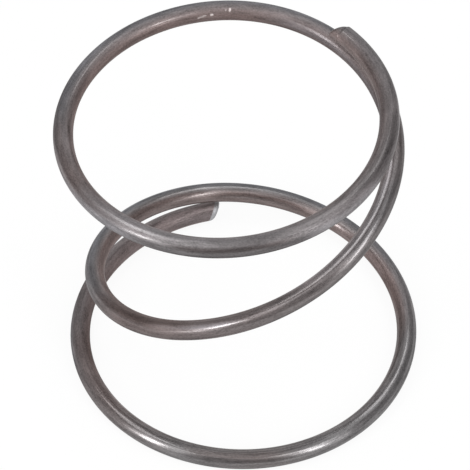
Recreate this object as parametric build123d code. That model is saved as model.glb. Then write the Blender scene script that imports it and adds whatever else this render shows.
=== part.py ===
from build123d import *
import os
from math import cos, pi, radians, sin, tan

# Small compression spring, coiled right-handed from one length of round wire.
# Both end coils are closed against their neighbours and left unground, and the
# wire is sheared off at both ends. Lengths are in millimetres and angles in
# degrees. Turns are counted along the wire from its upper end. +Z runs up the
# spring, and the origin is on the plane that it stands on, under the middle of
# its box.

# ---- wire and coil ----
wire_dia = 2.0
active_turns = 0.845         # turns between the closed ones, which are one at each end
free_height = 31.9           # over the wire, measured up the coil's axis
upper_coil_dia = 32.3        # mean diameter of the coil at its upper end
lower_coil_dia = 34.3        # mean diameter of the coil that it stands on
waist_narrowing = 6.78       # what the full pitch would take off the mean diameter
start_angle = 45.6           # of the wire's upper end, from +X towards +Y

# ---- pitch ----
end_gap = 0.3                # daylight between each end coil and the turn next to it
opening_turns = 0.712        # in which the pitch would open fully
closing_turns = 1.56         # in which it closes down to the ground, from the same place
upper_seat_tilt = 2.5        # by which the upper coil is out of square, high on +X

# ---- how far the coil strays from a straight axis ----
lean_x = 1.25                # the lower end stands off by this, the upper end by its opposite
lean_y = -1.2
bow_x = 1.91                 # the full pitch would throw the middle out by this
bow_y = 2.95

# ---- sheared ends ----
end_straight = 1.0           # length of wire that the shear leaves straight
shear_angle = 27.0           # of the cut, from square
shear_heading = 45.0         # way the cut is tipped, from outwards (0) to upwards (90)
shear_edge_radius = 0.3      # left round the cut

# ---- how finely the curve of the wire is laid out ----
joins_per_turn = 12          # points where one pair of arcs meets the next
samples_per_turn = 360       # points that the coil's box is measured on
small_step = 1e-4            # turns, for taking the wire's heading
halvings = 40                # of the range in which the pitch may start to open


def eased(share):
    """Rises smoothly from 0 to 1 as share goes from 0 to 1, level at both ends."""
    inside = min(max(share, 0.0), 1.0)
    return inside**2 * (3 - 2 * inside)


def eased_area(share):
    """Area under eased() from 0 to share."""
    inside = min(max(share, 0.0), 1.0)
    return inside**3 - inside**4 / 2 + max(share - 1, 0.0)


# ---- the pitch: closed, then open, then flat on the ground ----
total_turns = active_turns + 2
end_drop = wire_dia + end_gap        # of the first turn, and of the last
whole_drop = free_height - wire_dia


def open_share(turns, start):
    """How much of the full pitch the wire has at this turn, if it opens from start."""
    return eased((turns - start) / opening_turns) - eased((turns - start) / closing_turns)


def pitch_turns(turns, start):
    """Turns run so far at the upper end's pitch, and at the full one."""
    opened = opening_turns * eased_area((turns - start) / opening_turns)
    closed = closing_turns * eased_area((turns - start) / closing_turns)
    return turns - opened, opened - closed


def turns_between(first, last, start):
    runs = zip(pitch_turns(first, start), pitch_turns(last, start))
    return [at_last - at_first for at_first, at_last in runs]


def solve_pitches(start):
    """Upper and full pitch that give the first turn its drop, and all the turns theirs."""
    first_upper, first_full = turns_between(0, 1, start)
    all_upper, all_full = turns_between(0, total_turns, start)
    spread = first_upper * all_full - first_full * all_upper
    upper = (end_drop * all_full - first_full * whole_drop) / spread
    full = (first_upper * whole_drop - end_drop * all_upper) / spread
    return upper, full


def last_turn_drop(start):
    last_upper, last_full = turns_between(total_turns - 1, total_turns, start)
    upper, full = solve_pitches(start)
    return upper * last_upper + full * last_full


# The sooner the pitch opens and closes, the less the last turn drops. It drops by end_drop.
too_soon, too_late = 0.0, total_turns - closing_turns
for _ in range(halvings):
    opening_start = (too_soon + too_late) / 2
    if last_turn_drop(opening_start) < end_drop:
        too_soon = opening_start
    else:
        too_late = opening_start
upper_pitch, full_pitch = solve_pitches(opening_start)


# ---- the centreline: a wire that narrows, leans and bows as it is stretched ----
def centreline(turns):
    """Point on the middle of the wire, from the coil's own axis."""
    along = 2 * turns / total_turns - 1
    share = open_share(turns, opening_start)
    mean_dia = (upper_coil_dia + lower_coil_dia) / 2 + along * (lower_coil_dia - upper_coil_dia) / 2
    radius = (mean_dia - waist_narrowing * share) / 2
    angle = radians(start_angle - 360 * turns)
    x = radius * cos(angle) + lean_x * along + bow_x * share
    y = radius * sin(angle) + lean_y * along + bow_y * share
    at_upper, at_full = pitch_turns(turns, opening_start)
    drop = upper_pitch * at_upper + full_pitch * at_full
    seated = 1 - eased((turns - opening_start) / opening_turns)
    tilt_rise = seated * tan(radians(upper_seat_tilt)) * x
    return Vector(x, y, free_height - wire_dia / 2 - drop + tilt_rise)


def heading(turns):
    """Way the wire runs, from its upper end to its lower one."""
    return (centreline(turns + small_step) - centreline(turns - small_step)).normalized()


def middle_of(values):
    return (min(values) + max(values)) / 2


sample_count = round(samples_per_turn * total_turns)
samples = [centreline(total_turns * i / sample_count) for i in range(sample_count + 1)]
box_middle = Vector(middle_of([p.X for p in samples]), middle_of([p.Y for p in samples]), 0)


def biarc(start, start_heading, end, end_heading):
    """Two circular arcs from start to end, tangent to both headings and to each other."""
    chord = end - start
    both = start_heading + end_heading
    bend = 2 * (1 - start_heading.dot(end_heading))
    reach = (((chord.dot(both)) ** 2 + bend * chord.dot(chord)) ** 0.5 - chord.dot(both)) / bend
    from_start = start + start_heading * reach
    from_end = end - end_heading * reach
    join = (from_start + from_end) / 2
    return [
        TangentArc(start, join, tangent=start_heading),
        TangentArc(join, end, tangent=(from_end - from_start).normalized()),
    ]


# ---- the wire's path, short of the straight bit at each end ----
upper_stop = end_straight / (pi * upper_coil_dia)
lower_stop = total_turns - end_straight / (pi * lower_coil_dia)
spans = round(joins_per_turn * (lower_stop - upper_stop))
stations = [upper_stop + (lower_stop - upper_stop) * i / spans for i in range(spans + 1)]
arcs = []
for here, there in zip(stations, stations[1:]):
    arcs += biarc(
        centreline(here) - box_middle,
        heading(here),
        centreline(there) - box_middle,
        heading(there),
    )
path = Wire(arcs)

coil = sweep(Plane(path @ 0, z_dir=path % 0) * Circle(wire_dia / 2), path=path)


# ---- the sheared ends: the two sides of one slanting cut ----
def sheared_end(root, way_out, facing):
    """Straight end of the wire, from root. Its cut faces outwards and up at 1, inwards and down at -1."""
    outwards = Vector(root.X, root.Y, 0).normalized()
    upwards = Vector(0, 0, 1)
    tipped_towards = outwards * cos(radians(shear_heading)) + upwards * sin(radians(shear_heading))
    normal = way_out + tipped_towards * facing * tan(radians(shear_angle))
    cut = Plane(root + way_out * end_straight, z_dir=normal)
    blank = Plane(root, z_dir=way_out) * extrude(Circle(wire_dia / 2), end_straight + wire_dia)
    kept = split(blank, bisect_by=cut, keep=Keep.BOTTOM)
    cut_face = kept.faces().sort_by_distance(cut.origin)[0]
    return fillet(cut_face.edges(), shear_edge_radius)


upper_end = sheared_end(path @ 0, -(path % 0), 1)
lower_end = sheared_end(path @ 1, path % 1, -1)
spring_coil = coil + upper_end + lower_end

os.makedirs("parts", exist_ok=True)
export_step(spring_coil, "parts/spring_coil.step")
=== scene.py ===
# %% [markdown]
# # A small compression spring
# The real object is one length of round spring wire, wound cold on a mandrel and sheared off at
# both ends. Its shape and its place come from a CAD part. This lesson loads that part as a fixed
# frame and builds a finer skin of wire over it, with the marks that drawing, winding and shearing
# leave, and then the small studio that it stands in.

# %% Load the packed part as the frame
import math

import bpy
import numpy as np
from mathutils import Color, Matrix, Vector


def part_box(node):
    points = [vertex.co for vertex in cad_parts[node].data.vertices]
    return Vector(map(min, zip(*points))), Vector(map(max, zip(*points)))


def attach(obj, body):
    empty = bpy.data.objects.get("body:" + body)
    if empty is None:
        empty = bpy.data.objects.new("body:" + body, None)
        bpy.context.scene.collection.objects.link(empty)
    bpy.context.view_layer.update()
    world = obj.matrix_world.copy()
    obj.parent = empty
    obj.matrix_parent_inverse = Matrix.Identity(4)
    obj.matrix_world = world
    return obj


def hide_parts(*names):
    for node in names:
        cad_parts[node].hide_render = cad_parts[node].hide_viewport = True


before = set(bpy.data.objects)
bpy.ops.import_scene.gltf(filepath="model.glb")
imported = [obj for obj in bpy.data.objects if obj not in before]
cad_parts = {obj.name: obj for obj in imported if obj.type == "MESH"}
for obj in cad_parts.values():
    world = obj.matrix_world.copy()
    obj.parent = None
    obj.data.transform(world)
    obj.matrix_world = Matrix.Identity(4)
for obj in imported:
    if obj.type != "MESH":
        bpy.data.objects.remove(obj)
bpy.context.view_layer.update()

# %% [markdown]
# ## Sizes
# The skin has to lie on the CAD wire, so it follows the same rule for the wire's middle. These
# are the sizes that the rule needs: lengths in metres, angles in degrees, and the rest in turns,
# counted along the wire from its upper end. Blender works in metres, so each length in millimetres
# is multiplied by MM.

# %% Sizes of the wire and the coil
MM = 0.001
wire_dia = 2.0 * MM
active_turns = 0.845
free_height = 31.9 * MM
upper_coil_dia = 32.3 * MM
lower_coil_dia = 34.3 * MM
waist_narrowing = 6.78 * MM
start_angle = 45.6

end_gap = 0.3 * MM
opening_turns = 0.712
closing_turns = 1.56
upper_seat_tilt = 2.5

# the lower end stands off to one side by the lean, and the upper end to the other; where the pitch
# is full, the bow throws the middle out
lean = np.array([1.25, -1.2]) * MM
bow = np.array([1.91, 2.95]) * MM
wire_radius = wire_dia / 2
print("coil, mm across:", lower_coil_dia / MM, "below and", upper_coil_dia / MM, "above")

# %% [markdown]
# ## The pitch
# A spring coiler feeds wire past a pitch tool that moves in and out. Where the tool is out, the
# turns stand apart and the coil narrows a little as it is stretched. Where it is in, the end turns
# close up. An eased share from 0 to 1 stands for the tool, and its area along the turns gives the
# height. Writing this for whole arrays at once lets one call place thousands of rings.

# %% Ease in and out, and the pitch
def eased(share):
    """0 up to a share of 0, 1 from a share of 1, and a smooth rise between them."""
    inside = np.clip(share, 0, 1)
    return inside**2 * (3 - 2 * inside)


def eased_area(share):
    """The area under that curve, from 0 up to share."""
    inside = np.clip(share, 0, 1)
    return inside**3 - inside**4 / 2 + np.maximum(share - 1, 0)


total_turns = active_turns + 2
end_drop = wire_dia + end_gap


def pitch_turns(turns, start):
    """Turns run at the upper end's pitch and at the full one, if the pitch opens from start."""
    opened = opening_turns * eased_area((turns - start) / opening_turns)
    closed = closing_turns * eased_area((turns - start) / closing_turns)
    return np.array([turns - opened, opened - closed])


def turns_between(first, last, start):
    return pitch_turns(last, start) - pitch_turns(first, start)


def solve_pitches(start):
    """The two pitches that give the first turn its drop, and all the turns theirs."""
    rows = [turns_between(0, 1, start), turns_between(0, total_turns, start)]
    return np.linalg.solve(rows, [end_drop, free_height - wire_dia])


print("turns:", total_turns, "first drop, mm:", end_drop / MM)

# %% [markdown]
# ## Where the pitch opens
# The last turn drops by the same as the first, so that both ends sit closed. Where the pitch has to
# start to open for that has no neat formula, so it is found by halving a range again and again.

# %% Find where the pitch opens
halvings = 40
too_soon, too_late = 0.0, total_turns - closing_turns
for _ in range(halvings):
    opening_start = (too_soon + too_late) / 2
    last_turn = turns_between(total_turns - 1, total_turns, opening_start)
    if solve_pitches(opening_start) @ last_turn < end_drop:
        too_soon = opening_start
    else:
        too_late = opening_start
pitches = solve_pitches(opening_start)
print("opens after", round(opening_start, 3), "turns; pitches, mm:", pitches / MM)

# %% [markdown]
# ## The middle line of the wire
# The real coil isn't a perfect helix. It tapers from the lower turn to the upper one, narrows where
# it is stretched, leans a little, and its upper turn is tilted. All of that is added here to the
# angle, radius and height of each point. Then the line is centred, as the CAD part is.

# %% Place the middle line
def centreline(turns):
    """Points on the middle of the wire, one row for each entry of turns.

    along runs from -1 to 1 down the coil, and share is how much of the full pitch there is.
    """
    along = 2 * turns / total_turns - 1
    opened = eased((turns - opening_start) / opening_turns)
    share = opened - eased((turns - opening_start) / closing_turns)
    mean_dia = upper_coil_dia + (lower_coil_dia - upper_coil_dia) * turns / total_turns
    radius = (mean_dia - waist_narrowing * share) / 2
    angle = np.radians(start_angle - 360 * turns)
    x = radius * np.cos(angle) + lean[0] * along + bow[0] * share
    y = radius * np.sin(angle) + lean[1] * along + bow[1] * share
    tilt_rise = (1 - opened) * math.tan(math.radians(upper_seat_tilt)) * x
    z = free_height - wire_radius - pitches @ pitch_turns(turns, opening_start) + tilt_rise
    return np.stack([x, y, z], -1)


line_points = 8001
fine_turns = np.linspace(0, total_turns, line_points)
fine_line = centreline(fine_turns)
box_middle = (fine_line.min(0) + fine_line.max(0)) / 2 * [1, 1, 0]
fine_line = fine_line - box_middle
steps = np.linalg.norm(np.diff(fine_line, axis=0), axis=1)
fine_length = np.concatenate([[0], np.cumsum(steps)])
wire_length = fine_length[-1]
print("wire length, mm:", round(wire_length / MM, 2))

# %% [markdown]
# ## Rings along the wire
# Blender could bevel a curve into a tube, but a tube made ring by ring in code keeps hold of where
# each vertex lies on the straight wire: how far along it, and which side of it. The marks of the
# drawing die run along the wire, so the finish is laid out in those places later. Each ring has
# an outward and an upward side, which don't twist along the coil. One stretch gets more rings,
# because the wire has small nicks there.

# %% Ring places and directions
sides = 64
end_straight = 1.0 * MM
plain_rings = 1360
nicked_stretch = (85.2 * MM, 90.4 * MM)
nick_rings = 70
turn_step = 1e-4


def directions(turns):
    """Way along the wire, way outwards from the coil, and way up across the wire."""
    along = centreline(turns + turn_step) - centreline(turns - turn_step)
    along /= np.linalg.norm(along, axis=-1, keepdims=True)
    angle = np.radians(start_angle - 360 * turns)
    out = np.stack([np.cos(angle), np.sin(angle), np.zeros_like(angle)], -1)
    out -= along * (out * along).sum(-1, keepdims=True)
    out /= np.linalg.norm(out, axis=-1, keepdims=True)
    up = np.cross(out, along)
    up *= np.sign(up[..., 2:3])
    return along, out, up


plain_places = np.linspace(end_straight, wire_length - end_straight, plain_rings)
nick_places = np.linspace(*nicked_stretch, nick_rings)
body_length = np.sort(np.concatenate([plain_places, nick_places]))
rings = len(body_length)
body_turns = np.interp(body_length, fine_length, fine_turns)
body_middle = centreline(body_turns) - box_middle
body_along, body_out, body_up = directions(body_turns)
side_angle = np.arange(sides) * 2 * math.pi / sides
outwards, upwards = np.cos(side_angle)[:, None], np.sin(side_angle)[:, None]
body_across = outwards * body_out[:, None] + upwards * body_up[:, None]
print("rings:", rings, "of", sides, "vertices")

# %% [markdown]
# ## The sheared ends
# A cutter shears the wire while it is held, so an end isn't square: its face slants the way that the
# blade went. A cylinder could be cut with a boolean, but then the rings would be lost. So each
# line along the wire is run on to a slanting plane instead, which first has to be placed.

# %% Place the plane of a cut
shear_angle = 27.0
shear_heading = 45.0


def cut_plane(middle, way_out, facing, longer):
    """A point on the plane, the way that the face leans, and the way that the face looks.

    facing is 1 if the face looks up and out from the coil, and -1 if it looks down and in. longer
    is how far the wire runs past the end of the CAD wire.
    """
    level_out = middle * [1, 1, 0] / np.linalg.norm(middle[:2])
    heading = math.radians(shear_heading)
    leaning = level_out * math.cos(heading) + np.array([0, 0, 1.0]) * math.sin(heading)
    looking = way_out + leaning * facing * math.tan(math.radians(shear_angle))
    looking /= np.linalg.norm(looking)
    return middle + way_out * (end_straight + longer), leaning, looking


origin, leaning, looking = cut_plane(body_middle[0], -body_along[0], 1, 0)
print("the upper face looks along", looking.round(3))

# %% [markdown]
# ## Rings over the edge and the face
# The blade rolls the edge over before it cuts, so the edge is round. These rings run from the
# straight wire to the edge, a quarter turn round it, and then in over the face, shrinking to its
# middle. With each ring goes how far it belongs to the cut, from 0 to 1, for the finish.

# %% Run the rings over the edge and the face
end_rings = 26
edge_rings = 8
face_rings = 22
edge_radius = 0.42 * MM
rim_width = 0.24 * MM
rim_fade = 0.10 * MM
all_round = np.ones(sides)


def rings_to_cut(middle, way_out, across, origin, looking, bare_rim):
    """Points and cut shares, ring by ring. bare_rim is how bare the steel is along the edge."""

    def reach(points):
        """How far along way_out each point is from the plane of the cut."""
        return ((origin - points) @ looking) / (way_out @ looking)

    rows, cut_rows = [], []
    side_start = middle + wire_radius * across
    side_run = reach(side_start) - edge_radius
    for step in range(1, end_rings + 1):
        share = step / end_rings
        to_edge = (1 - share) * side_run
        rows.append(side_start + way_out * (share * side_run)[:, None])
        cut_rows.append(bare_rim * np.clip((rim_width - to_edge) / rim_fade, 0, 1))
    for step in range(1, edge_rings + 1):
        share = step / edge_rings
        turned = share * math.pi / 2
        inset = edge_radius * (1 - math.cos(turned))
        fall = edge_radius * (1 - math.sin(turned))
        points = middle + (wire_radius - inset) * across
        rows.append(points + way_out * (reach(points) - fall)[:, None])
        cut_rows.append(all_round * (bare_rim + (1 - bare_rim) * share**3))
    for step in range(1, face_rings + 1):
        points = middle + (wire_radius - edge_radius) * (1 - step / face_rings) * across
        rows.append(points + way_out * reach(points)[:, None])
        cut_rows.append(all_round)
    return np.array(rows), np.array(cut_rows)


print("rings to add at each end:", end_rings + edge_rings + face_rings)

# %% [markdown]
# ## Broken steel and the blade's dent
# The blade cuts only half of the face, and the rest breaks off rough. It also presses its own side
# of the wire down a little. Bumps made of random numbers, smoothed with their neighbours, do for
# the break. The random generator has a seed, so the face comes out the same each time.

# %% Break half of the face and press one side
break_height = 0.035 * MM
break_steepness = 1.6
pressed_length = 2.2 * MM


def broken(points, cut_share, origin, leaning, looking, facing, seed):
    """The points with bumps on the half of the face that broke."""
    random = np.random.default_rng(seed)
    height = (points - origin) @ leaning / wire_radius
    rough = np.clip(1 / 2 - break_steepness * height * facing, 0, 1) * (cut_share >= 1)
    bumps = random.normal(size=points.shape[:2])
    bumps = (bumps + np.roll(bumps, 1, 1) + np.roll(bumps, -1, 1)) / 3
    bumps[1:-1] = (bumps[1:-1] + bumps[2:] + bumps[:-2]) / 3
    bumps[-1] = bumps[-1].mean()
    return points + looking * (rough * bumps * break_height)[..., None]


def pressed_in(points, middle, way_out, leaning, pressed):
    """The points with the blade's side pushed in, more so towards the cut."""
    past_start = (points - middle) @ way_out + pressed_length - end_straight
    blade_side = (1 + ((points - middle) @ leaning) / wire_radius) / 2
    return points - leaning * (pressed * eased(past_start / pressed_length) * blade_side)[..., None]


def sheared_end(ring, sign, facing, pressed, longer, bare_rim, seed):
    """All rings past one end ring of the body. sign makes the way along the wire point out of it."""
    middle, way_out = body_middle[ring], sign * body_along[ring]
    origin, leaning, looking = cut_plane(middle, way_out, facing, longer)
    points, cut_share = rings_to_cut(middle, way_out, body_across[ring], origin, looking, bare_rim)
    points = broken(points, cut_share, origin, leaning, looking, facing, seed)
    return pressed_in(points, middle, way_out, leaning, pressed), cut_share


upper_end = {"facing": 1, "pressed": 0.17 * MM, "longer": 0, "bare_rim": 0, "seed": 11}
lower_end = {"facing": -1, "pressed": 0, "longer": 0.12 * MM, "bare_rim": 0.6, "seed": 23}
upper_points, upper_cut = sheared_end(0, -1, **upper_end)
lower_points, lower_cut = sheared_end(-1, 1, **lower_end)
for name, points in (("upper", upper_points), ("lower", lower_points)):
    print(name, "end: middle of the cut, mm:", (points[-1].mean(0) / MM).round(2))

# %% [markdown]
# ## Nicks
# The wire has been knocked at the back of its upper turn. A short scratch and three small nicks
# show bright steel there. They could be bumps in the material alone, but real dents also catch the
# light and stay in the mesh when it is used without the material. So each one is a short line on
# the straight wire, and the vertices near it are sunk a few hundredths of a millimetre. How near a
# vertex is also tells the finish how bare the steel is.

# %% Nicks in the wire
# from and to: length along the wire in mm and side of it in degrees; then width and depth in mm,
# and how bare the steel is in it
nicks = [
    (86.1, 167, 86.95, 157, 0.12, 0.020, 0.50),
    (87.52, 157, 87.68, 156, 0.17, 0.040, 0.85),
    (89.05, 136, 89.12, 129, 0.11, 0.020, 0.32),
    (89.50, 136, 89.54, 126, 0.16, 0.060, 0.62),
]
half_width = 0.55
edge_sharpness = 4


def on_straight_wire(length, side):
    """A place on the unrolled surface, in mm, from a length in mm and a side in degrees."""
    return np.array([length, math.radians(side) * wire_radius / MM])


nick_bare = np.zeros((rings, sides))
nick_depth = np.zeros((rings, sides))
unrolled = np.stack(np.broadcast_arrays(body_length[:, None], side_angle * wire_radius), -1) / MM
for from_length, from_side, to_length, to_side, width, depth, bared in nicks:
    begin = on_straight_wire(from_length, from_side)
    way = on_straight_wire(to_length, to_side) - begin
    run = np.clip((unrolled - begin) @ way / (way @ way), 0, 1)
    apart = np.linalg.norm(unrolled - begin - run[..., None] * way, axis=-1)
    share = np.exp(-((apart / (half_width * width)) ** edge_sharpness))
    nick_bare = np.maximum(nick_bare, share * bared)
    nick_depth = np.maximum(nick_depth, share * depth * MM)
body_points = body_middle[:, None] + (wire_radius - nick_depth)[..., None] * body_across
print("nicks:", len(nicks), "deepest, mm:", (nick_depth.max() / MM).round(3))

# %% [markdown]
# ## The film on the wire
# Drawing soap and the heat of winding leave a thin brown film. The tools and the bin wear it away
# unevenly, so some stretches are browner or more matt than others, and some are painted lighter or
# darker, as painted highlights and painted shade. A painted image would do, but short lists of
# lengths and amounts, blended along the wire, are easy to read and change.
# A matt share of 1 is the dullest wire, and one below 0 is more burnished than usual.

# %% Where the film lies, how matt the wire is, and painted light and shade along it
film_at = [0, 16, 30, 50, 56, 62, 96, 112, 120, 144, 154, 162, 210, 234, 240, 248, 256, 264, 290]
film_outside = [
    0.1, 0.5, 0.3, 0.2, 0.9, 0.1, 0.3, 1.2, 0.6, 1.2, 1.7, 0.1, 0.2, 0.1, 0.9, 0.1, 1.2, 0.6, 0.9,
]
film_inside = [
    0.5, 0.3, 0.1, 0.2, 0.4, 0.6, 0.3, 0.0, 0.0, 1.1, 1.3, 1.5, 1.2, 0.0, 0.1, 0.2, 1.0, 1.2, 0.0,
]
# the next two lists paint the colour lighter or darker along the wire: above 1 a painted highlight,
# below 1 painted shade
painted_light_at = [0, 6, 30, 34, 40, 46, 106, 112, 130, 140, 258, 264, 270, 278, 292]
painted_light_level = [1.12, 1, 1, 0.76, 0.76, 1, 1, 0.88, 0.9, 1, 1, 0.86, 1, 1.15, 1.15]
matt_at = [0, 8, 20, 56, 64, 104, 112, 136, 144, 170, 180, 194, 203, 212, 218, 256, 264, 292]
matt_share = [0.6, 0.6, 0.6, 0.6, 1, 1, 0, 0, 0.6, 0.6, 0, 0, 0.8, 0.6, -0.3, -0.3, 1, 1]
print("lengths that tell of film, wear and matt wire:", len(film_at), len(painted_light_at), len(matt_at))

# %% [markdown]
# ## Patches of film, temper and painted light
# Some patches add brown film or take it off, and where it is taken off a bluish temper shows. Most
# also paint the colour lighter or darker: painted highlights, among them one on top of the lower end,
# which the turn above shades, and painted shade in stripes where the wire mirrors dark parts of the
# room. Each patch lies along a line on one side of the wire, and it fades away towards its ends and
# to both sides.

# %% Patches of film and temper, and of painted light and shade
# the middle of a patch along the wire and half its length, both in mm, its side of the wire and how
# far it spreads, both in degrees, how much painted light it adds, a painted highlight above 0 and
# painted shade below 0, and how much browner it is, or bluer if that is below 0
patches = [
    (10, 7, -12, 38, 1.50, -0.1),
    (17, 8, 165, 30, 0.0, -0.3),
    (19, 7, 65, 25, -0.38, 0.0),
    (26, 6, 5, 35, 0.55, -0.1),
    (38, 7, 30, 13, -0.22, 0.3),
    (42, 14, 112, 25, 0.40, -0.1),
    (45, 7, 65, 24, 0.40, 0.0),
    (55, 9, 0, 40, 0.65, -0.2),
    (56, 12, 45, 14, -0.20, 0.1),
    (60, 6, 65, 30, -0.05, 0.35),
    (64, 8, 12, 24, -0.22, 0.2),
    (67, 6, 110, 22, -0.15, 0.0),
    (84, 24, 60, 26, 0.10, -0.4),
    (103, 12, 165, 30, -0.08, -0.4),
    (123, 14, 112, 24, 0.72, -0.2),
    (123, 6, 62, 22, -0.30, -0.1),
    (145, 6, 58, 14, 0.60, -0.30),
    (152, 8, 84, 35, -0.36, 0.40),
    (164, 8, 115, 25, 0.0, 0.35),
    (165, 8, 165, 30, 0.25, 0.1),
    (178, 6, 140, 40, -0.15, 0.2),
    (184, 28, 60, 26, 0.0, -0.5),
    (185, 11, 62, 24, -0.22, 0.0),
    (204, 6, 165, 30, 0.15, -0.4),
    (211, 7, 110, 25, 0.15, 0.35),
    (219, 6, 0, 40, -0.15, 0.0),
    (219, 7, 165, 30, -0.30, 0.0),
    (236, 8, 65, 22, -0.18, 0.0),
    (243, 6, 65, 24, -0.06, 0.4),
    (252, 5, 65, 22, -0.15, 0.0),
    (262, 7, 85, 35, 0.0, 0.3),
    (268, 6, 0, 35, 0.0, -0.3),
    (272, 9, 65, 25, -0.14, 0.0),
    (284, 22, 165, 40, -0.22, -0.3),
    (292, 10, 98, 18, 1.1, 0.0),
]
print("patches:", len(patches))

# %% [markdown]
# ## All marks at one place
# The lists and the patches come together in one function of a place on the straight wire. It works
# on whole arrays, so all vertices are done in one call. It could be nodes as well, but so many
# patches would make a slow and tangled material, while numbers kept with the mesh cost little.

# %% Film, brightness and mattness at a place on the wire
def film_marks_and_painted_light(out, up, length):
    """Film outside and inside, painted light and shade, stain and mattness, at places in mm on the
    wire.
    """
    side = np.degrees(np.arctan2(up, out))
    # painted light and shade: painted highlights above 1, painted shade below 1
    painted_light, stain = np.interp(length, painted_light_at, painted_light_level), 0 * length
    for patch_at, half_length, patch_side, spread, painted_light_change, browner in patches:
        off_side = (side - patch_side + 180) % 360 - 180
        share = eased(2 - 2 * abs(length - patch_at) / half_length)
        share = share * np.exp(-((off_side / spread) ** 2))
        painted_light = painted_light + painted_light_change * share
        stain = stain + browner * share
    film_out = np.interp(length, film_at, film_outside)
    film_in = np.interp(length, film_at, film_inside)
    matt = np.interp(length, matt_at, matt_share)
    return np.stack([film_out, film_in, painted_light, stain, matt], -1)


print("marks on top of the lower tip:", film_marks_and_painted_light(0.0, 1.0, 290.0).round(2))

# %% [markdown]
# ## Where each vertex lies on the straight wire
# The finish needs each vertex's place on the wire as it was before winding: outwards, upwards and
# along. For the body that is known from the ring and the side. At the ends it is measured from the
# last ring of the body, so that the marks run on without a step.

# %% Places on the straight wire
def end_lay(points, ring):
    """The places of an end's points, measured from that ring of the body."""
    offset = points - body_middle[ring]
    along = body_length[ring] + offset @ body_along[ring]
    return np.stack([offset @ body_out[ring], offset @ body_up[ring], along], -1)


def joined(upper, body, lower):
    """One row for each vertex: every ring but the two that shrank to a point, then those points."""
    whole = np.concatenate([upper[::-1], body, lower])
    between = whole[1:-1].reshape(-1, *whole.shape[2:])
    return np.concatenate([between, [whole[0].mean(0), whole[-1].mean(0)]])


round_lay = np.concatenate([outwards, upwards], -1) * wire_radius
body_lay = np.concatenate(
    [np.repeat(round_lay[None], rings, 0), np.repeat(body_length[:, None, None], sides, 1)], -1
)
lay = joined(end_lay(upper_points, 0), body_lay, end_lay(lower_points, -1))
print("laid out straight, mm:", (lay.min(0) / MM).round(2), "to", (lay.max(0) / MM).round(2))

# %% [markdown]
# ## The skin
# All rings go into one mesh: quads between rings, and a fan of triangles at each end. Made this
# way the mesh is closed, with no stray faces, and its normals look outwards.

# %% Join the rings into one closed mesh
vertices = joined(upper_points, body_points, lower_points)
kept_rings = (len(vertices) - 2) // sides
upper_middle, lower_middle = kept_rings * sides, kept_rings * sides + 1
this_side = np.arange(sides)
next_side = (this_side + 1) % sides
ring_start = np.arange(kept_rings - 1)[:, None] * sides
left, right = ring_start + this_side, ring_start + next_side
quads = np.stack([left, right, right + sides, left + sides], -1).reshape(-1, 4)
last_ring = (kept_rings - 1) * sides
upper_fan = np.stack([np.full(sides, upper_middle), next_side, this_side], -1)
lower_fan = np.stack(
    [np.full(sides, lower_middle), last_ring + this_side, last_ring + next_side], -1
)

skin = bpy.data.meshes.new("spring_wire")
faces = quads.tolist() + upper_fan.tolist() + lower_fan.tolist()
skin.from_pydata(vertices.tolist(), [], faces)
skin.shade_smooth()
print("triangles:", 2 * len(quads) + 2 * sides)

# %% [markdown]
# ## What the vertices tell the finish
# Attributes carry numbers from the mesh to the material. They move with the wire, so the marks stay
# where they are from every side, and they also work where there is no image to paint on.

# %% Keep the marks with the vertices
def keep_with_vertices(name, values):
    """A named attribute with one number, or three, for each vertex."""
    kind, field = ("FLOAT", "value") if values.ndim == 1 else ("FLOAT_VECTOR", "vector")
    attribute = skin.attributes.new(name, kind, "POINT")
    attribute.data.foreach_set(field, np.ascontiguousarray(values, np.float32).ravel())


marks_and_painted_light = film_marks_and_painted_light(*(lay.T / MM))
plain_body = np.zeros((rings, sides))
keep_with_vertices("wire_lay", lay / MM)
keep_with_vertices("cut_face", joined(upper_cut, plain_body, lower_cut))
keep_with_vertices("nick", joined(0 * upper_cut, nick_bare, 0 * lower_cut))
# film keeps film outside, film inside and, third, the painted light and shade
keep_with_vertices("film", marks_and_painted_light[:, :3])
keep_with_vertices("stain", marks_and_painted_light[:, 3])
keep_with_vertices("matt", marks_and_painted_light[:, 4])
skin.update()
skin.validate()
print("kept:", [attribute.name for attribute in skin.attributes if attribute.domain == "POINT"])

# %% [markdown]
# ## The piece
# The spring is one length of wire, so it is one object. It rides on the part's only body, and the
# plain CAD wire is hidden in its place.

# %% The spring's wire
spring = bpy.data.objects.new("spring_wire", skin)
bpy.context.scene.collection.objects.link(spring)
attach(spring, "root")
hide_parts("spring_coil")
wire_low, wire_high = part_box("spring_coil")
print("CAD wire, mm:", [round(size / MM, 2) for size in wire_high - wire_low])
print("skin, mm:", ((vertices.max(0) - vertices.min(0)) / MM).round(2))

# %% [markdown]
# ## A small helper for shader maths
# A material is a graph of nodes. Wrapping a socket in a class with operators lets the graph be
# written as plain expressions. Values use Math nodes. Colours and places use Mix and Vector Math
# nodes, because a Math node makes a single number of them, which turns a colour grey.

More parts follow.
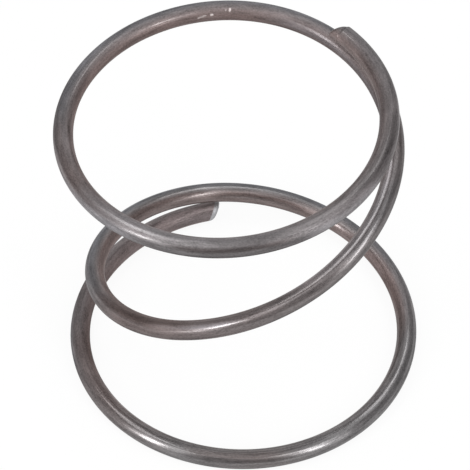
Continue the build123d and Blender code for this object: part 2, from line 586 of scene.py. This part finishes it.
# %% Shader maths helper
class Socket:
    """A node's output, which can be added, multiplied and so on."""

    def __init__(self, tree, plug=None):
        self.tree, self.plug = tree, plug

    def node(self, kind, settings, values, output=0):
        """A new node: first its settings, then its inputs, each a number, a colour or a socket."""
        made = self.tree.nodes.new(kind)
        for name, value in settings.items():
            setattr(made, name, value)
        for name, value in values.items():
            if isinstance(value, Socket):
                self.tree.links.new(value.plug, made.inputs[name])
            else:
                made.inputs[name].default_value = value
        return Socket(self.tree, made.outputs[output] if made.outputs else None)

    def beside(self, name):
        """Another output of the same node."""
        return Socket(self.tree, self.plug.node.outputs[name])

    def maths(self, operation, first, second):
        return self.node("ShaderNodeMath", {"operation": operation}, {0: first, 1: second})

    def __add__(self, other):
        return self.maths("ADD", self, other)

    def __sub__(self, other):
        return self.maths("SUBTRACT", self, other)

    def __rsub__(self, other):
        return self.maths("SUBTRACT", other, self)

    def __mul__(self, other):
        return self.maths("MULTIPLY", self, other)

    __radd__, __rmul__ = __add__, __mul__

    def clip(self):
        return self.node("ShaderNodeClamp", {}, {"Value": self})

    def between(self, low, high):
        """0 below low, 1 above high, eased between them."""
        values = {"Value": self, "From Min": low, "From Max": high}
        return self.node("ShaderNodeMapRange", {"interpolation_type": "SMOOTHSTEP"}, values)

    def mixed(self, first, second):
        """Two colours blended, with this value as the share."""
        values = {0: self, 6: first, 7: second}
        return self.node("ShaderNodeMix", {"data_type": "RGBA"}, values, output=2)

    def shading(self, colour):
        """A colour multiplied by this value."""
        settings = {"data_type": "RGBA", "blend_type": "MULTIPLY"}
        return self.node("ShaderNodeMix", settings, {0: 1.0, 6: colour, 7: self}, output=2)

    def squeezed(self, along):
        """This place on the straight wire, squeezed along it, so that marks come out long."""
        values = {0: self, 1: (1.0, 1.0, along)}
        return self.node("ShaderNodeVectorMath", {"operation": "MULTIPLY"}, values)


def empty_nodes(owner):
    """A socket to start from, in the emptied node tree of a material or a world."""
    owner.use_nodes = True
    owner.node_tree.nodes.clear()
    return Socket(owner.node_tree)


print("operators:", [name for name in vars(Socket) if name.startswith("__r")])

# %% [markdown]
# ## The finish of drawn spring wire
# Spring wire is pulled through a die, which leaves a satin grey with fine lines along it, and a
# thin brown film of drawing soap and heat stays on most of it. The coiling tools rub that film
# thin on the outside of the coil, so the outer side is a cooler grey and the inner side browner.
# The material first reads what the vertices keep.

# %% Read the wire's attributes
drawn = bpy.data.materials.new("drawn_wire")
finish = empty_nodes(drawn)


def kept(name, output):
    return finish.node("ShaderNodeAttribute", {"attribute_name": name}, {}, output)


place, film_and_painted_light = kept("wire_lay", "Vector"), kept("film", "Vector")
cut, nick = kept("cut_face", "Fac"), kept("nick", "Fac")
stain, matt = kept("stain", "Fac"), kept("matt", "Fac")
outward = finish.node("ShaderNodeSeparateXYZ", {}, {"Vector": place})
upward = outward.beside("Y")
# the film attribute's third number is the painted light and shade: lighter for painted highlights,
# darker for painted shade
film_out = finish.node("ShaderNodeSeparateXYZ", {}, {"Vector": film_and_painted_light})
film_in, painted_light = film_out.beside("Y"), film_out.beside("Z")
print("nodes that read the wire:", len(drawn.node_tree.nodes))

# %% [markdown]
# ## Marks of the die and the bin
# A die scratches lines along the wire. Scale and dust leave shorter specks. They are far finer than
# the faces of the mesh, so they belong in the material. All of them are noise in the place on the
# straight wire, and the more that place is squeezed along the wire, the longer the marks are. Noise
# has its middle at a half, so a half is taken off before it is added up.

# %% Lines, scale and grain
noise_middle = 0.5
plain_tone = 1.02
fine_line_tone, bold_line_tone = 0.9, 0.7
scale_tone, grain_tone, speck_tone = 1.5, 1.1, 0.3
speck_from, speck_to = 0.55, 0.75


def noise(point, scale, detail=2.0, roughness=0.5):
    values = {"Vector": point, "Scale": scale, "Detail": detail, "Roughness": roughness}
    return finish.node("ShaderNodeTexNoise", {}, values)


fine_lines = noise(place.squeezed(0.02), scale=9.0, detail=3.0, roughness=0.6)
bold_lines = noise(place.squeezed(0.03), scale=2.2)
scale_marks = noise(place.squeezed(0.15), scale=2.0, detail=4.0, roughness=0.65)
speckle = noise(place.squeezed(0.7), scale=5.0, detail=4.0, roughness=0.7)
grain = noise(place.squeezed(0.5), scale=9.0, roughness=0.6)
clouds = noise(place, scale=0.12)

tone = plain_tone + fine_line_tone * (fine_lines - noise_middle)
tone = tone + bold_line_tone * (bold_lines - noise_middle)
tone = tone + scale_tone * (scale_marks - noise_middle)
tone = tone + grain_tone * (grain - noise_middle)
# last, the painted light and shade kept with the vertices: a painted highlight above 1, painted shade
# below 1
tone = (tone - speck_tone * speckle.between(speck_from, speck_to)) * painted_light
print("nodes so far:", len(drawn.node_tree.nodes))

# %% [markdown]
# ## The brown film
# The film is thick on the inner side of the coil and thin on the outer side. It could be a second
# shader on top, but it is so thin that it only colours the steel, so one number for its thickness
# is enough. Which side a point is on is known from its place across the straight wire, and the lists
# say how much film is left there. A patch with a stain above 0 adds film, and one below 0 takes film
# off and lets bluish temper show.

# %% How thick the film is
facing_in, facing_down = 0.75, 0.25
outer_side, inner_side = -0.35, 0.75
always_inside, listed_inside, cloudy_inside = 0.50, 0.45, 0.3
listed_outside, less_inside = 0.42, 0.2

inner = (-facing_in * outward - facing_down * upward).between(outer_side, inner_side)
inner_film = inner * (always_inside + listed_inside * film_in + cloudy_inside * clouds)
outer_film = (listed_outside - less_inside * inner) * film_out
film = (inner_film + outer_film + stain).clip()
tempered = (0 - stain).clip()
print("nodes so far:", len(drawn.node_tree.nodes))

# %% [markdown]
# ## Colours of the wire
# Cut and nicked steel has no film, so it is brighter and takes no marks. The film changes the base
# colour of the metal, which tints what the wire mirrors, as a thin layer on real steel does. The
# burnished ridges keep less of the film than the satin steel between them.

# %% Film, cut steel and bare steel
def linear(*colour):
    """A display colour, 0 to 255, as the shader wants it."""
    display = Color([level / 255 for level in colour])
    return (*display.from_srgb_to_scene_linear(), 1.0)


clean, silver = linear(120, 116.5, 118), linear(119, 118, 118.5)
brown, blue = linear(126, 109.5, 106.5), linear(113, 114.5, 121.5)
cut_rim, cut_middle = linear(172, 172, 174), linear(134, 135, 138)
fresh = linear(250, 242, 240)
film_on_ridges = 0.3
bare_from, bare_to = 0.1, 0.55
rim_up_to, middle_from = 0.6, 0.95

bare = cut.between(bare_from, bare_to)
cut_steel = cut.between(rim_up_to, middle_from).mixed(cut_rim, cut_middle)


def toned(base):
    """The base colour with the marks and the painted light and shade over it, and bare steel where it
    is cut or nicked.
    """
    return nick.mixed(bare.mixed(tone.shading(base), cut_steel), fresh)


filmed = toned(film.mixed(tempered.mixed(clean, blue), brown))
rubbed_bare = toned((film_on_ridges * film).mixed(tempered.mixed(silver, blue), brown))
print("brown film, linear:", [round(level, 3) for level in brown[:3]])

# %% [markdown]
# ## Satin and burnished steel
# Between the lines the wire is satin, and the ridges of the lines are burnished by the tools, so a
# highlight on it has a soft glow with thin bright streaks in it. One roughness can't give both, so
# two shaders are mixed, and the lines say how much of each there is.

# %% Satin and burnished steel
satin_roughness, burnished_roughness = 0.50, 0.18
scale_rougher, film_rougher, matt_rougher = 0.12, 0.05, 0.08
usually_rubbed, matt_less_rubbed = 0.48, 0.40
bold_rubbed, fine_rubbed = 0.7, 1.0
fine_height, bold_height, speck_height = 0.5, 0.35, 0.15
edge_tint = (0.7, 0.7, 0.7, 1.0)

height = fine_height * fine_lines + bold_height * bold_lines + speck_height * speckle
bump = {"Height": height, "Strength": 0.22, "Distance": 0.02 * MM}
ridges = finish.node("ShaderNodeBump", {}, bump)


def steel(base, roughness):
    """Bare metal of one base colour. The roughness is a number or a value from the nodes."""
    values = {
        "Base Color": base,
        "Metallic": 1.0,
        "Roughness": roughness,
        "Specular Tint": edge_tint,
        "Normal": ridges,
    }
    return finish.node("ShaderNodeBsdfPrincipled", {}, values)


rougher = scale_rougher * (scale_marks - noise_middle) + film_rougher * film + matt_rougher * matt
satin = steel(filmed, satin_roughness + rougher)
burnished = steel(rubbed_bare, burnished_roughness)
rubbed = usually_rubbed + bold_rubbed * (bold_lines - noise_middle) - matt_less_rubbed * matt
rubbed = (rubbed + fine_rubbed * (fine_lines - noise_middle)).clip()
surface = finish.node("ShaderNodeMixShader", {}, {0: rubbed, 1: satin, 2: burnished})
finish.node("ShaderNodeOutputMaterial", {}, {"Surface": surface})
skin.materials.append(drawn)
print("nodes in the finish:", len(drawn.node_tree.nodes))

# %% [markdown]
# ## The table
# The spring stands on a plain white table. More lamp light would turn the table white, but it would
# bleach the wire too. So the table is lit as the spring is, which keeps the soft shadow under the
# wire, and most of it is replaced by plain white for the camera and for what the metal mirrors, so
# that it stays white to the edge of the frame.

# %% White table
table_size = 3.0
table_white = 0.92
table_grey = (0.8, 0.8, 0.8, 1.0)
plain_white = (1.0, 1.0, 1.0, 1.0)

floor_mesh = bpy.data.meshes.new("floor")
half = table_size / 2
corners = [(-half, -half), (half, -half), (half, half), (-half, half)]
floor_mesh.from_pydata([(x, y, wire_low.z) for x, y in corners], [], [(0, 1, 2, 3)])
floor = bpy.data.objects.new("floor", floor_mesh)
bpy.context.scene.collection.objects.link(floor)

white_table = bpy.data.materials.new("white_table")
paint = empty_nodes(white_table)
seen = paint.node("ShaderNodeLightPath", {}, {}, "Is Camera Ray")
seen_or_mirrored = seen + seen.beside("Is Glossy Ray") + seen.beside("Is Transmission Ray")
lit = paint.node("ShaderNodeBsdfDiffuse", {}, {"Color": table_grey})
white = paint.node("ShaderNodeEmission", {}, {"Color": plain_white, "Strength": 1.0})
share = seen_or_mirrored.clip() * table_white
table_top = paint.node("ShaderNodeMixShader", {}, {0: share, 1: lit, 2: white})
paint.node("ShaderNodeOutputMaterial", {}, {"Surface": table_top})
floor_mesh.materials.append(white_table)
print("table height, mm:", round(wire_low.z / MM, 3))

# %% [markdown]
# ## The room
# An even, dim surround keeps the sides that face no lamp from going black. It is what most of the
# metal mirrors, so it sets how dark the wire looks between its highlights. An image of a real room
# would do as well, but a plain tone is easier to judge the finish by.

# %% Dim surround
surround_strength = 0.41
world = bpy.data.worlds.new("studio")
bpy.context.scene.world = world
room = empty_nodes(world)
dim_white = {"Color": plain_white, "Strength": surround_strength}
surround = room.node("ShaderNodeBackground", {}, dim_white)
room.node("ShaderNodeOutputWorld", {}, {"Surface": surround})
print("surround:", surround_strength)

# %% [markdown]
# ## The lamps
# A round wire mirrors the whole room in a narrow strip, so a tall soft box shows as a bright line
# along it, and the gap between two boxes as a darker band. Each front box is a bright strip inside
# a wide dim glow, which gives the line a soft edge. Small boxes behind light the far turns, and a
# dim box above and a dim card behind fill in the rest.

# %% Soft boxes
stand_off = 0.8
coil_middle = (wire_low + wire_high) / 2
# name: bearing and rise of the box, its width and height as the coil sees them, all in degrees,
# and its brightness
soft_boxes = {
    "left_box": (-145, 25, 10, 30, 10.0),
    "left_glow": (-142, 28, 32, 60, 1.35),
    "right_box": (-46, 34, 11, 34, 7.6),
    "right_glow": (-44, 28, 34, 64, 1.25),
    "back_left_box": (163, 64, 28, 17, 3.0),
    "back_right_box": (56, 55, 17, 12, 2.6),
    "ceiling_box": (-12, 80, 80, 60, 0.7),
    "back_card": (90, 18, 60, 44, 0.45),
}


def hang_soft_box(name, bearing, rise, width, height, brightness):
    """A rectangular lamp that faces the coil from stand_off metres."""
    bearing, rise = math.radians(bearing), math.radians(rise)
    level_way = Vector((math.cos(bearing), math.sin(bearing), 0))
    way = level_way * math.cos(rise) + Vector((0, 0, math.sin(rise)))
    lamp = bpy.data.lights.new(name, "AREA")
    lamp.shape = "RECTANGLE"
    lamp.size = 2 * stand_off * math.tan(math.radians(width / 2))
    lamp.size_y = 2 * stand_off * math.tan(math.radians(height / 2))
    lamp.energy = brightness * math.pi * lamp.size * lamp.size_y
    box = bpy.data.objects.new(name, lamp)
    box.location = coil_middle + stand_off * way
    box.rotation_euler = way.to_track_quat("Z", "Y").to_euler()
    bpy.context.scene.collection.objects.link(box)
    return lamp.energy


for name, settings in soft_boxes.items():
    print(name, round(hang_soft_box(name, *settings), 3), "W")

# %% [markdown]
# ## The camera
# The camera looks down at the coil from in front. It stands well back with a long lens, so that the
# near and the far turns keep nearly the same size, as a close camera with a short lens would not
# let them. It aims a little beside the coil's middle, and a small shift places the coil in the frame.

# %% Camera
elevation = math.radians(48.65)
distance = 498.5 * MM
beside_middle = Vector((-0.2, 0.45, -0.28)) * MM
aim = coil_middle + beside_middle
lens = bpy.data.cameras.new("camera")
lens.lens, lens.sensor_width = 380, 36
lens.shift_x, lens.shift_y = -0.0029, -0.0153
lens.clip_start, lens.clip_end = 0.01, 10
camera = bpy.data.objects.new("camera", lens)
camera.location = aim + distance * Vector((0, -math.cos(elevation), math.sin(elevation)))
camera.rotation_euler = (math.pi / 2 - elevation, 0, 0)
bpy.context.scene.collection.objects.link(camera)
bpy.context.scene.camera = camera
bpy.context.scene.view_settings.view_transform = "Standard"
print("camera at, mm:", [round(value / MM, 1) for value in camera.location])

# %% [markdown]
# ## Sizes, and the end
# The skin must keep to the box of the CAD part, so both boxes are printed with the piece above.
